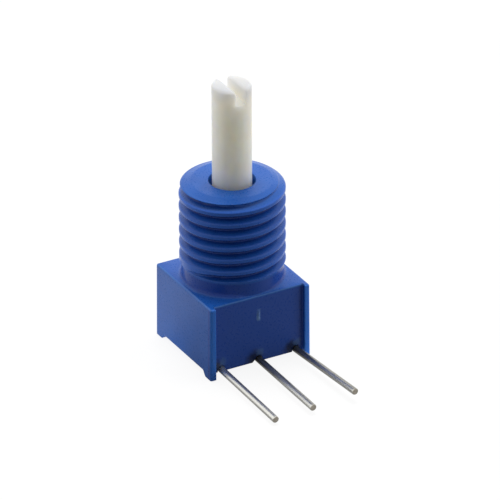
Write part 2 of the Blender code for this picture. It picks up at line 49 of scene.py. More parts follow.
# One socket of a node tree. Sums and products on it become Math nodes, and node() makes any other
# kind: its settings first, then the values or links of its sockets.
class Socket:
    def __init__(self, tree, socket=None):
        self.tree, self.socket = tree, socket

    def node(self, kind, settings=None, inputs=None, out=0):
        made = self.tree.nodes.new("ShaderNode" + kind)
        for key, value in (settings or {}).items():
            setattr(made, key, value)
        for key, value in (inputs or {}).items():
            if isinstance(value, Socket):
                self.tree.links.new(value.socket, made.inputs[key])
            else:
                made.inputs[key].default_value = value
        return Socket(self.tree, made.outputs[out])

    def math(self, operation, *values):
        return self.node("Math", {"operation": operation}, dict(enumerate(values)))

    def __add__(self, other):
        return self.math("ADD", self, other)

    def __sub__(self, other):
        return self.math("SUBTRACT", self, other)

    def __rsub__(self, other):
        return self.math("SUBTRACT", other, self)

    def __mul__(self, other):
        return self.math("MULTIPLY", self, other)

    __radd__, __rmul__ = __add__, __mul__

    def hypot(self, other):
        return self.math("SQRT", self * self + other * other)

    def steps(self, low, high):     # 0 below low, 1 above high, smooth in between
        return self.node("MapRange", {"interpolation_type": "SMOOTHSTEP"},
                         {"Value": self, "From Min": low, "From Max": high})

    def within(self, low, high):     # rises over the pair low and falls again over the pair high
        return self.steps(*low) * (1 - self.steps(*high))

    def blend(self, first, second):     # this value mixes two colours
        return self.node("Mix", {"data_type": "RGBA"}, {0: self, 6: first, 7: second}, out=2)


# A new Principled material: finish["fixed"] holds its constants, and look(start, finish) gives
# the sockets that vary.
def makeMaterial(name, look, finish):
    material = bpy.data.materials.new(name)
    material.use_nodes = True
    shader = material.node_tree.nodes["Principled BSDF"]
    for key, value in finish["fixed"].items():
        shader.inputs[key].default_value = value
    for key, value in look(Socket(material.node_tree), finish).items():
        material.node_tree.links.new(value.socket, shader.inputs[key])
    return material


def rgb(red, green, blue):      # a colour from 0 to 255 on a screen, as linear light
    screen = np.array([red, green, blue]) / 255
    linear = np.where(screen <= 0.04045, screen / 12.92, ((screen + 0.055) / 1.055) ** 2.4)
    return (*linear.tolist(), 1.0)


def addMesh(name, points, faces):       # points in millimetres
    mesh = bpy.data.meshes.new(name)
    mesh.from_pydata((points * mm).tolist(), [], faces)
    piece = bpy.data.objects.new(name, mesh)
    bpy.context.scene.collection.objects.link(piece)
    return piece


# Skins a grid of points: rows by columns by xyz. Columns run round the piece anticlockwise and rows
# run down its outside, so the faces point outwards. The last row joins the first, or else a flat
# face closes each end.
def skinGrid(name, grid, closeRows=False):
    rows, columns = grid.shape[:2]
    here = np.arange(rows * columns).reshape(rows, columns)
    right = np.roll(here, -1, axis=1)
    if closeRows:
        below, belowRight = np.roll(here, -1, axis=0), np.roll(right, -1, axis=0)
        quads, ends = np.stack([here, below, belowRight, right], axis=-1), []
    else:
        quads = np.stack([here[:-1], here[1:], right[1:], right[:-1]], axis=-1)
        ends = [here[0].tolist(), here[-1][::-1].tolist()]
    return addMesh(name, grid.reshape(-1, 3), quads.reshape(-1, 4).tolist() + ends)


# Merges points that share a place, drops the faces that this empties, shades smooth up to the angle
# sharp, gives the piece its material, hangs it on the body that carries it and hides the node it stands
# for.
def finishPiece(piece, material, body, node, sharp):
    mesh = piece.data
    bm = bmesh.new()
    bm.from_mesh(mesh)
    bmesh.ops.remove_doubles(bm, verts=bm.verts, dist=1e-7)
    bmesh.ops.dissolve_degenerate(bm, edges=bm.edges, dist=1e-8)
    bmesh.ops.triangulate(bm, faces=[face for face in bm.faces if len(face.verts) > 4])
    bm.to_mesh(mesh)
    bm.free()
    mesh.shade_smooth()
    mesh.set_sharp_from_angle(angle=math.radians(sharp))
    mesh.materials.append(material)
    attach(piece, body)
    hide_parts(node)
    print(f"{piece.name}: {len(mesh.polygons)} faces")


def nodePoints(name):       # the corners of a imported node, in millimetres
    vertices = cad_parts[name].data.vertices
    points = np.empty(len(vertices) * 3)
    vertices.foreach_get("co", points)
    return points.reshape(-1, 3) / mm


# The smaller (or larger) of two values, with the corner between them rounded over a width.
def softMin(a, b, width):
    near = np.maximum(width - np.abs(a - b), 0) / width
    return np.minimum(a, b) - near * near * width / 4


def softMax(a, b, width):
    return -softMin(-a, -b, width)


def easeStep(value, low, high):     # 0 below low, 1 above high, smooth in between
    share = np.clip((value - low) / (high - low), 0, 1)
    return share * share * (3 - 2 * share)


def quarter(count):     # so many angles over a quarter turn
    return np.linspace(0, math.pi / 2, count)


def fromAngle(angles, centre):      # how far angles lie from a centre, in degrees either way
    return (np.degrees(angles) - centre + 180) % 360 - 180


def fromNearest(values, pitch):     # how far values lie from the nearest of marks a pitch apart
    return np.abs((values + pitch / 2) % pitch - pitch / 2)


# All lengths of the pieces are in millimetres, and angles in degrees.
housing = {
    # the case: panel, walls and feet, the pins' notches, and the hollow below
    "panelFront": -3.17, "caseFront": -3.43, "caseTop": 4.46, "draft": 0.4,
    "edge": 0.12, "fineEdge": 0.045, "lowEdge": 0.03, "leastCorner": 0.012,
    "footInner": 2.43, "footOuter": 2.73, "footHeight": 0.34,
    "pinPitch": 2.54, "pinHeight": 0.15, "notch": 0.24,
    "pocketHalfWidth": 3.01, "pocketFront": -2.83, "pocketBack": 3.03,
    # the rotor's chamber, its stop groove to either side of the front, and the bore
    "ceiling": 1.535, "chamberRadius": 2.6, "chamberTop": 3.41,
    "grooveOuter": 2.25, "grooveInner": 1.75, "grooveTop": 3.91, "grooveReach": 153,
    "grooveLeast": 0.001, "boreRadius": 1.41, "mouthEdge": 0.05,
    # the bushing's end: its flat, its slope and its turned-down rim
    "bushingTop": 10.81, "flatRadius": 2.45, "flatInset": 0.05, "slopeDrop": 0.16, "slopeEase": 0.004,
    "bushingRadius": 3.185, "shoulder": 0.28, "shoulderDrop": 0.32,
    # the thread, and how much fuller than its values it stands
    "pitch": 25.4 / 32, "depth": 0.42, "rootWidth": 0.10, "flank": 30, "startAngle": -185,
    "runout": 45, "runoutClear": 0.05, "crestRound": 0.05, "rootRound": 0.10, "fuller": 0.00125,
    "rowsPerPitch": 26,
    # the neck, and the fillet at its foot, which takes at most a share of the room on the case's top
    "neckRadius": 3.06, "neckTop": 5.584, "neckEase": 0.1, "neckLength": 0.55,
    "neckFoot": 0.30, "neckFootShare": 0.85, "topInset": 0.02,
    # the low mark of the gate on the panel
    "gateLow": (2.76, 2.96), "gateHigh": (3.26, 3.56), "gateHalfWidth": 0.07, "gateHeight": 0.03,
    "easeColumns": 7, "wallRows": 44, "sharp": 35,
}


# A closed plan outline with rounded corners, from eight corners of right angles. Each corner is
# a quarter circle, and each straight run has the stations that its side asks for.
def roundedLoop(corners, radii, stations):
    points = []
    count = len(corners)
    turn = quarter(5)[:, None]
    for k in range(count):
        before, here, after = corners[k - 1], corners[k], corners[(k + 1) % count]
        into = (here - before) / np.linalg.norm(here - before)
        out = (after - here) / np.linalg.norm(after - here)
        centre = here + (out - into) * radii[k]
        points.append(centre - out * radii[k] * np.cos(turn) + into * radii[k] * np.sin(turn))
        start = here + out * radii[k]
        end = after - out * radii[(k + 1) % count]
        points.append(start + (end - start) * stations[k][:, None])
    return np.concatenate(points)


# Stations along a side, as shares of it. Each mark is a share and the even steps up to the next.
def spread(*marks):
    runs = [np.linspace(a, b, n, endpoint=False) for (a, n), (b, _) in zip(marks, marks[1:])]
    return np.concatenate(runs)[1:]


# Case, bushing, bore and hollow in one closed skin: rings of points, one below the other. Round the
# bushing a ring is a radius and a height at each column's angle, and on the case it is the plan.
def makeHousing(material):
    h = housing
    halfWidth, back, _ = np.array(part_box("housing")[1]) / mm
    foot, half = -h["footHeight"], h["pocketHalfWidth"]
    slope = math.tan(math.radians(h["draft"]))

    # the stations of the sides: back, left, the left wall's end, panel, and so on round
    tiny, margin = 2e-4, 0.1        # tiny parts two stations that share a corner
    inner = (halfWidth - half) / (2 * halfWidth)
    backStations = spread((0, 5), (inner, 1), (inner + tiny, 40), (1 - inner - tiny, 1),
                          (1 - inner, 5), (1, 1))
    depth = back - h["caseFront"]
    feet = [(back - y) / depth for y in (h["footOuter"], h["footInner"], -h["footInner"], -h["footOuter"])]
    sideStations = spread((0, 7), (feet[0], 5), (feet[1], 26), (feet[2], 5), (feet[3], 7), (1, 1))
    few = spread((0, 4), (1, 1))
    marks, notch = [(0, 9)], h["notch"] / (2 * half)
    for number in (-1, 0, 1):
        centre = 0.5 + number * h["pinPitch"] / (2 * half)
        marks += [(centre - notch - tiny, 1), (centre - notch, 9), (centre, 9), (centre + notch, 1),
                  (centre + notch + tiny, 12)]
    panelStations = spread(*marks, (1, 1))
    stations = [backStations, sideStations, few, few, panelStations, few, few, 1 - sideStations[::-1]]

    # The plan at a height, which leans in with the draft. Its share is 0 on the walls and grows to
    # 1 where their rounded upper edge meets the top.
    def outline(height, share=0.0):
        outer = (height - foot) * slope + h["edge"] * share
        fine = h["fineEdge"] * share
        w, b, f = halfWidth - outer, back - outer, h["caseFront"] + h["edge"] * share
        i, p = half + fine, h["panelFront"] + fine
        corners = np.array([(w, b), (-w, b), (-w, f), (-i, f), (-i, p), (i, p), (i, f), (w, f)])
        big, small = max(h["edge"] * (1 - share), h["leastCorner"]), h["fineEdge"]
        return roundedLoop(corners, [big, big, big, small, small, small, small, big], stations)

    def keepWithin(points, front, rear):
        return np.stack([np.clip(points[:, 0], -half, half), np.clip(points[:, 1], front, rear)], axis=1)

    # how low each column's wall goes: to a foot, to the case's base, or to the notch over a pin
    plan = outline(foot)
    columns = len(plan)
    aside, deep = np.abs(plan[:, 0]), np.abs(plan[:, 1])
    onWall = (aside > half + tiny / 2) | (aside > half - tiny / 2) & (plan[:, 1] <= back - margin)
    linear = np.clip((deep - h["footInner"]) / (h["footOuter"] - h["footInner"]), 0, 1)
    eased = easeStep(deep, h["footInner"], h["footOuter"])
    wallLow = np.where(onWall, foot * (0.5 * linear + 0.5 * eased), 0.0)
    onPanel = (plan[:, 1] < 0) & (aside < half - tiny / 2) & (plan[:, 1] > h["caseFront"] + margin)
    fromPin = fromNearest(plan[:, 0], h["pinPitch"])
    arch = h["pinHeight"] + np.sqrt(np.maximum(h["notch"] ** 2 - fromPin ** 2, 0))
    wallLow = np.where(onPanel & (fromPin < h["notch"] + 1e-6), arch, wallLow)

    # the angle of each column round the bushing, eased where the wall's end gathers them
    star = keepWithin(plan, h["panelFront"], back)
    angle = np.unwrap(np.arctan2(star[:, 1], star[:, 0]))
    reach = h["easeColumns"]
    padded = np.concatenate([angle[-reach:] - math.tau, angle, angle[:reach] + math.tau])
    angle = np.convolve(padded, np.ones(2 * reach + 1) / (2 * reach + 1), mode="valid")

    def ring(radius, height):
        radius = np.broadcast_to(radius, (columns,))
        height = np.broadcast_to(height, (columns,))
        return np.stack([radius * np.cos(angle), radius * np.sin(angle), height], axis=1)

    def loop(points, height):
        return np.concatenate([points, np.broadcast_to(height, (columns,))[:, None]], axis=1)

    # Thread: the radius is the blank's, or the groove's where that is less. The groove's centre
    # climbs one pitch a turn, its flanks rise at the flank angle, and both edges are rounded.
    # Over the runout the groove deepens from nothing to its full depth.
    turnsFromStart = (angle - math.radians(h["startAngle"])) / math.tau
    turnsFromStart = turnsFromStart - np.floor(turnsFromStart.min())
    firstGroove = h["neckTop"] + h["pitch"] * (turnsFromStart % 1)

    def threaded(blank, height):
        turn = np.maximum(np.round((height - firstGroove) / h["pitch"]), 0)
        away = np.abs(height - firstGroove - turn * h["pitch"])
        progress = np.clip((turn + turnsFromStart % 1) * 360 / h["runout"], 0, 1)
        rise = (away - h["rootWidth"] / 2) / math.tan(math.radians(h["flank"]))
        root = h["bushingRadius"] - h["depth"] * progress + h["runoutClear"] * (1 - progress)
        groove = softMax(root, root + rise, h["rootRound"])
        return softMin(blank, groove, h["crestRound"]) + h["fuller"]

    # the bore's rounded mouth, the flat, the slope that eases out of it, and the rim
    top, radius, bore, mouth = h["bushingTop"], h["bushingRadius"], h["boreRadius"], h["mouthEdge"]
    rows = [ring(bore + mouth * (1 - math.cos(turn)), top - mouth * (1 - math.sin(turn)))
            for turn in quarter(5)]
    rows += [ring(r, top) for r in np.linspace(bore + mouth, h["flatRadius"] - h["flatInset"], 6)[1:]]
    rim = radius - h["shoulder"]
    for share in np.linspace(0, 1, 8):
        z = top - h["slopeDrop"] * share - h["slopeEase"] * (1 - share) ** 2
        rows.append(ring(threaded(h["flatRadius"] + (rim - h["flatRadius"]) * share, z), z))
    slopeEnd = top - h["slopeDrop"]
    for turn in quarter(11)[1:]:
        z = slopeEnd - h["shoulderDrop"] * (1 - math.cos(turn))
        rows.append(ring(threaded(rim + h["shoulder"] * math.sin(turn), z), z))

    # the thread's side, the neck, and the fillet at its foot
    sideTop, neckTop, neck = slopeEnd - h["shoulderDrop"], h["neckTop"], h["neckRadius"]
    threadRows = round((sideTop - neckTop) / h["pitch"] * h["rowsPerPitch"])
    rows += [ring(threaded(radius, z), z) for z in np.linspace(sideTop, neckTop, threadRows)[1:]]
    step = h["pitch"] / h["rowsPerPitch"]
    for z in np.arange(neckTop - step, neckTop - h["neckLength"], -step):
        blank = neck + (radius - neck) * easeStep(z, neckTop - h["neckEase"], neckTop)
        rows.append(ring(threaded(blank, z), z))
    caseTop = h["caseTop"]
    shelf = outline(caseTop, 1.0)
    fillet = np.clip((np.hypot(shelf[:, 0], shelf[:, 1]) - neck) * h["neckFootShare"], 0.0, h["neckFoot"])
    for turn in quarter(5):
        rows.append(ring(neck + fillet * (1 - np.cos(turn)), caseTop + fillet * (1 - np.sin(turn))))

    # the flat top, the rounded upper edge, then the walls with the gate's mark down to their ends
    flatTop = keepWithin(shelf, h["panelFront"] + h["topInset"], back)
    least = (neck + fillet) / np.maximum(np.hypot(flatTop[:, 0], flatTop[:, 1]), 1e-6)
    rows.append(loop(flatTop * np.maximum(least, 1.0)[:, None], caseTop))
    for turn in quarter(6)[::-1]:
        height = caseTop - h["edge"] * (1 - math.sin(turn))
        rows.append(loop(outline(height, 1 - math.cos(turn)), height))
    wallTop, wallEnd = caseTop - h["edge"], wallLow + h["lowEdge"]
    topPlan, endPlan = outline(wallTop), outline(foot + h["lowEdge"])
    for share in np.linspace(0, 1, h["wallRows"])[1:]:
        height = wallTop + (wallEnd - wallTop) * share
        points = loop(topPlan * (1 - share) + endPlan * share, height)
        mark = np.maximum(1 - (points[:, 0] / h["gateHalfWidth"]) ** 2, 0)
        mark = mark * easeStep(height, *h["gateLow"]) * (1 - easeStep(height, *h["gateHigh"]))
        points[:, 1] -= np.where(onPanel, mark * h["gateHeight"], 0)
        rows.append(points)

    # the rounded lower edges, the hollow, the chamber with the stop groove, and the bore
    pocket = keepWithin(plan, h["pocketFront"], h["pocketBack"])
    towards = pocket - plan
    towards = towards / np.maximum(np.linalg.norm(towards, axis=1), 1e-6)[:, None]
    for turn in quarter(3)[1:]:
        inset = h["lowEdge"] * (1 - math.cos(turn))
        rows.append(loop(plan + towards * inset, wallLow + h["lowEdge"] * (1 - math.sin(turn))))
    rows += [loop(pocket, height) for height in (wallLow, np.maximum(wallLow, 0.0), h["ceiling"])]
    roof = h["chamberTop"]
    inGroove = np.abs(fromAngle(angle, -90)) < h["grooveReach"]
    grooveTop = np.where(inGroove, h["grooveTop"], roof + h["grooveLeast"])
    chamber = [("chamberRadius", h["ceiling"]), ("chamberRadius", roof), ("grooveOuter", roof),
               ("grooveOuter", grooveTop), ("grooveInner", grooveTop), ("grooveInner", roof),
               ("boreRadius", roof)]
    rows += [ring(h[name], height) for name, height in chamber]
    piece = skinGrid("housingMoulding", np.stack(rows), closeRows=True)
    finishPiece(piece, material, "case", "housing", h["sharp"])


shaft = {
    "radius": 1.19, "edge": 0.19, "slotWidth": 0.67, "slotDepth": 0.95, "slotEdge": 0.15,
    "slotFoot": 0.05, "journal": 1.36, "journalTop": 9.66, "journalStep": 0.17,
    "sealSeat": 0.94, "sealHeight": 8.41, "sealHalf": 0.315,
    "rotorTop": 3.36, "rotorBottom": 1.86, "boss": 0.60, "bossLength": 0.30,
    "lugInner": 1.80, "lugOuter": 2.20, "lugHeight": 0.50, "lugReach": 12, "lugEase": 1,
    "across": 18, "along": 72, "sharp": 38,
}


# Joins the sections of the shaft's end to the turned rows under them.
def skinShaft(cap, rows):
    across, along = cap.shape[:2]
    here = np.arange(across * along).reshape(across, along)
    top = np.stack([here[:-1, :-1], here[:-1, 1:], here[1:, 1:], here[1:, :-1]], axis=-1)
    below = across * along + np.arange(rows[1:, :, 0].size).reshape(-1, rows.shape[1])
    rim = np.concatenate([here[:, -1], here[-2:0:-1, 0]])
    loops = np.concatenate([rim[None], below])
    right = np.roll(loops, -1, axis=1)
    side = np.stack([loops[:-1], loops[1:], right[1:], right[:-1]], axis=-1)
    faces = top.reshape(-1, 4).tolist() + side.reshape(-1, 4).tolist() + [loops[-1][::-1].tolist()]
    return addMesh("shaftMoulding", np.concatenate([cap.reshape(-1, 3), rows[1:].reshape(-1, 3)]), faces)


# Shaft and rotor in one closed skin. The end is made of upright sections side by side across the
# slot: each goes from the front of the cylinder over the end to its back, at the height of the
# land or of the slot's floor, less a quarter circle where the radius nears the rim. The sections'
# ends form the rim loop, which is then carried down the turned profile of the rest.
def makeShaft(material):
    s = shaft
    low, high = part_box("shaft")
    top, rotor, radius = high.z / mm, (high.x - low.x) / 2 / mm, s["radius"]
    w, e, floor = s["slotWidth"] / 2, s["slotEdge"], -s["slotDepth"]
    land = radius * np.cos(np.linspace(0, math.acos((w + e) / radius), s["across"]))
    turn = quarter(7)[1:]
    x = np.concatenate([land, w + e * (1 - np.sin(turn)), w * np.cos(turn - turn[0])])
    level = np.concatenate([0 * land, -e * (1 - np.cos(turn)), floor + 0 * turn])
    x, level = np.concatenate([x, -x[::-1]]), np.concatenate([level, level[::-1]])
    across = -np.cos(np.linspace(0, math.pi, s["along"]))
    px = np.repeat(x[:, None], len(across), axis=1)
    py = np.sqrt(np.maximum(radius ** 2 - x ** 2, 0))[:, None] * across
    outward = np.clip((np.hypot(px, py) - radius) / s["edge"] + 1, 0, 1)
    rim = -s["edge"] * (1 - np.sqrt(1 - outward ** 2))
    pz = top + np.maximum(level[:, None] + rim, floor)
    cap = np.stack([px, py, pz], axis=-1)

    rimLoop = np.concatenate([cap[:, -1], cap[-2:0:-1, 0]])
    angle = np.unwrap(np.arctan2(rimLoop[:, 1], rimLoop[:, 0]))

    def ring(r, z):
        z = np.broadcast_to(z, angle.shape)
        return np.stack([r * np.cos(angle), r * np.sin(angle), z], axis=1)

    fromLug = np.abs(fromAngle(angle, -90))
    onLug = 1 - easeStep(fromLug, s["lugReach"], s["lugReach"] + s["lugEase"])
    lugTop = s["rotorTop"] + s["lugHeight"] * onLug
    seat, half, up = s["sealSeat"], s["sealHalf"], s["sealHeight"]
    journal, foot = s["journal"], s["rotorBottom"] - s["bossLength"]
    rows = [rimLoop]
    rows += [ring(radius, z) for z in np.linspace(top + floor - s["slotFoot"], s["journalTop"], 12)]
    profile = [(journal, s["journalTop"] - s["journalStep"]), (journal, up + half), (seat, up + half),
               (seat, up - half), (journal, up - half), (journal, s["rotorTop"]),
               (s["lugInner"], s["rotorTop"]), (s["lugInner"], lugTop), (s["lugOuter"], lugTop),
               (s["lugOuter"], s["rotorTop"]), (rotor, s["rotorTop"]), (rotor, s["rotorBottom"]),
               (s["boss"], s["rotorBottom"]), (s["boss"], foot)]
    rows += [ring(r, z) for r, z in profile]
    finishPiece(skinShaft(cap, np.stack(rows)), material, "rotor", "shaft", s["sharp"])


pins = {
    "radius": 0.21, "bend": 0.25, "edge": 0.045, "sharp": 50,
    "sides": 48, "straightRows": 30, "bendRows": 9,
    "tipSlab": 0.08, "headSlab": 0.01,      # how much of the node's ends is taken to find their middles
    # painted reflections round each wire: angle and width of its dark lines, and how dark they are painted
    "darkReflectionLines": {1: ((70, 28, 0.45), (182, 26, 0.36)), 2: ((80, 34, 0.6), (188, 24, 0.36)),
                  3: ((88, 34, 0.62), (182, 34, 0.45))},
    # painted dark reflection at the case: how dark each wire is, how far along it that fades, and the
    # painted highlight line that stays bright
    "darkReflectionAtCase": {1: 0.15, 2: 0.85, 3: 0.8}, "darkReflectionLength": 4.6, "darkReflectionFade": 0.8,
    "paintedHighlightLine": (214, 16, 0.7),
    "cutShares": (0.02, 0.35, 0.7), "cutRows": 4, "cutFade": 3,     # the rows that show the cut
}


# A pin: a circle carried along its path, straight in from the free end and round the bend.
def makePin(number, material):
    p = pins
    node = f"terminal_{number}"
    corners = nodePoints(node)
    tip = corners[corners[:, 1] < corners[:, 1].min() + p["tipSlab"]].mean(axis=0)
    head = corners[corners[:, 2] > corners[:, 2].max() - p["headSlab"]].mean(axis=0)
    root = np.array([head[0], housing["panelFront"], housing["pinHeight"]])
    turn = quarter(p["bendRows"])[:, None]
    bendPath = np.concatenate([0 * turn + head[0], head[1] - p["bend"] * (1 - np.sin(turn)),
                               root[2] + p["bend"] * (1 - np.cos(turn))], axis=1)
    path = np.concatenate([np.linspace(tip, root, p["straightRows"]), bendPath, head[None, :]])
    along = np.gradient(path, axis=0)
    along /= np.linalg.norm(along, axis=1)[:, None]
    side = np.array([1.0, 0.0, 0.0]) - along * along[:, :1]
    side /= np.linalg.norm(side, axis=1)[:, None]
    up = np.cross(side, along)
    angles = np.linspace(0, math.tau, p["sides"], endpoint=False)
    circle = (np.cos(angles)[None, :, None] * side[:, None, :]
              + np.sin(angles)[None, :, None] * up[:, None, :])

    # the cut end, its rounded edge, and the wire
    rows = [path[0] + circle[0] * (p["radius"] - p["edge"]) * share for share in p["cutShares"]]
    for turn in quarter(6):
        rows.append(path[0] + along[0] * p["edge"] * (1 - math.cos(turn))
                    + circle[0] * (p["radius"] - p["edge"] * (1 - math.sin(turn))))
    rows += list((path[:, None, :] + p["radius"] * circle)[1:])
    grid = np.stack(rows)[:, ::-1]
    piece = skinGrid(f"pin{number}", grid)

    def bell(centre, width):        # 1 at an angle round the wire, and falling off to both sides
        return np.exp(-(fromAngle(angles, centre) / width) ** 2)

    # painted reflections: how dark the wire is painted round and along it, and where the cut shows
    darkReflection = 0 * angles
    for centre, width, depth in p["darkReflectionLines"][number]:
        darkReflection = np.maximum(darkReflection, depth * bell(centre, width))
    fromCase = np.clip((housing["panelFront"] - grid[:, :1, 1]) / p["darkReflectionLength"], 0, 1)
    centre, width, share = p["paintedHighlightLine"]
    nearCase = p["darkReflectionAtCase"][number] * (1 - fromCase) ** p["darkReflectionFade"]
    darkReflection = np.maximum(darkReflection, nearCase * (1 - share * bell(centre, width)))
    cut = np.clip(1 - (np.arange(len(rows)) - p["cutRows"]) / p["cutFade"], 0, 1)[:, None]
    # tone is 1 on bare tin and lower where the wire is painted dark as a painted reflection
    for name, values in (("tone", 1 - darkReflection[:, ::-1]), ("cut", cut)):
        values = np.broadcast_to(values, grid.shape[:2]).astype(np.float32)
        piece.data.attributes.new(name, "FLOAT", "POINT").data.foreach_set("value", values.ravel())
    finishPiece(piece, material, "case", node, p["sharp"])


resin = {
    "halfWidth": 3.008, "front": -2.828, "back": 3.028, "top": 0.36, "steps": 110,
    "sag": 0.07, "wetting": 0.16, "ripple": 0.006, "rippleWaves": ((1.9, 0.7), (-0.8, 1.3)),
    "pinEdge": 0.147, "pinEnd": -2.24, "pinWetting": 0.09, "sharp": 50,
}


# The potting that closes the case from below. Its face is a height over the pocket's plan: sunk
# in the middle, climbing the walls and the pins by an exponential of the distance to them.
def makeResin(material):
    r = resin
    across = np.sin(np.linspace(-math.pi / 2, math.pi / 2, r["steps"]))
    middle, halfDepth = (r["back"] + r["front"]) / 2, (r["back"] - r["front"]) / 2
    x, y = np.meshgrid(across * r["halfWidth"], across * halfDepth + middle)
    toWall = np.minimum(r["halfWidth"] - np.abs(x), np.minimum(y - r["front"], r["back"] - y))
    fromPin = fromNearest(x, housing["pinPitch"])
    toPin = np.hypot(np.maximum(fromPin - r["pinEdge"], 0), np.maximum(y - r["pinEnd"], 0))
    rise = np.maximum(np.exp(-toWall / r["wetting"]), np.exp(-toPin / r["pinWetting"]))
    (a, b), (c, d) = r["rippleWaves"]
    ripple = np.sin(a * x + b * y) * np.sin(c * x + d * y) * r["ripple"] * (1 - rise)
    face = np.stack([x, y, r["sag"] * (1 - rise) + ripple], axis=-1).reshape(-1, 3)

    # the face's rim is raised to the top, and a fan of triangles closes it there
    count = r["steps"]
    here = np.arange(count * count).reshape(count, count)
    rim = np.concatenate([here[0, :-1], here[:-1, -1], here[-1, :0:-1], here[:0:-1, 0]])
    raised = face[rim]
    raised[:, 2] = r["top"]
    upper = len(face) + np.arange(len(rim))
    below = np.stack([here[:-1, :-1], here[1:, :-1], here[1:, 1:], here[:-1, 1:]], axis=-1)
    sides = np.stack([rim, np.roll(rim, -1), np.roll(upper, -1), upper], axis=-1)
    fan = np.stack([upper, np.roll(upper, -1), np.full(len(rim), len(face) + len(rim))], axis=-1)
    faces = below.reshape(-1, 4).tolist() + sides.tolist() + fan.tolist()
    points = np.concatenate([face, raised, [[0.0, middle, r["top"]]]])
    piece = addMesh("resinFill", points, faces)
    finishPiece(piece, material, "case", "rear_seal", r["sharp"])


# Finishes. Every pattern is measured on object coordinates, in metres. Colours are from 0 to 255.
def noise(start, scale, detail=3.0, stretch=None):
    place = start.node("TexCoord", out="Object")
    if stretch:
        place = start.node("Mapping", inputs={"Vector": place, "Scale": stretch})
    return start.node("TexNoise", inputs={"Vector": place, "Scale": scale, "Detail": detail})


def bump(start, height, strength, depth):     # depth in micrometres
    return start.node("Bump", inputs={"Strength": strength, "Distance": depth * 1e-6, "Height": height})


def axes(start):     # x, y and z in millimetres
    place = start.node("TexCoord", out="Object")
    return [start.node("SeparateXYZ", inputs={"Vector": place}, out=axis) * 1000 for axis in "XYZ"]


def cloudy(start, f):     # two tones in faint clouds
    return noise(start, f["clouds"]).steps(*f["cloudEdge"]).blend(rgb(*f["shade"]), rgb(*f["light"]))


blueFinish = {
    "fixed": {"Specular IOR Level": 0.28},
    "light": (37, 100, 192), "shade": (34, 95, 186), "clouds": 900, "cloudEdge": (0.3, 0.7),
    "grain": 9000, "rough": 0.25, "roughGrain": 0.06, "bump": (0.015, 16),
    # tints of painted light and painted shade, and the pairs in millimetres over which each of them fades
    # in or out
    "threadLow": (5.3, 5.5), "threadHigh": (10.35, 10.5),
    # crest: a painted highlight, the thread's crests paler where light from below reaches them
    "crest": (46, 104, 206), "crestFrom": (2.98, 3.17),
    # root: painted shade, the thread's grooves darker where the ridges above shade them
    "root": (20, 60, 144), "rootFrom": (2.3, 2.4), "rootTo": (2.74, 3.0),
    # neck: painted shade under the overhang of the lowest thread crest
    "neck": (20, 66, 164), "neckShare": 0.8, "neckLow": (4.47, 4.60), "neckHigh": (5.25, 5.45),
    # edge: a painted highlight along the rounded upper edges of the case
    "edge": (88, 138, 212), "edgeShare": 0.5, "edgeLow": (4.34, 4.40), "edgeHigh": (4.450, 4.458),
    # wallEnd: painted light, the thin ends of the walls paler as if lit through from the sides
    "wallEnd": (54, 128, 236), "wallEndTo": (-3.40, -3.34),
    # panel: painted shade, the recessed panel darker up to near its top edge
    "panel": (38, 82, 176), "panelFrom": (-3.27, -3.22), "panelTo": (-3.12, -3.05),
    "panelTop": (4.28, 4.42),
    # gate: a painted highlight on the vestige of the gate
    "gate": (128, 170, 222), "gateHalf": (0.038, 0.19), "gateLow": (2.66, 2.96),
    "gateHigh": (3.39, 3.64),
    "speckle": 3600, "speckleEdge": (0.3, 0.6), "speckleShare": (0.3, 0.5),
    # painted marks at each pin, dark painted shade and a pale painted reflection of the pin: colour, how
    # far to the right and up, size and share
    "marks": (((14, 26, 52), -0.30, 0.30, 0.72, 0.85), ((80, 118, 178), 0.10, 0.64, 0.36, 0.6)),
    "markClouds": 2500, "markCloud": 0.5, "markCore": 0.3,
}


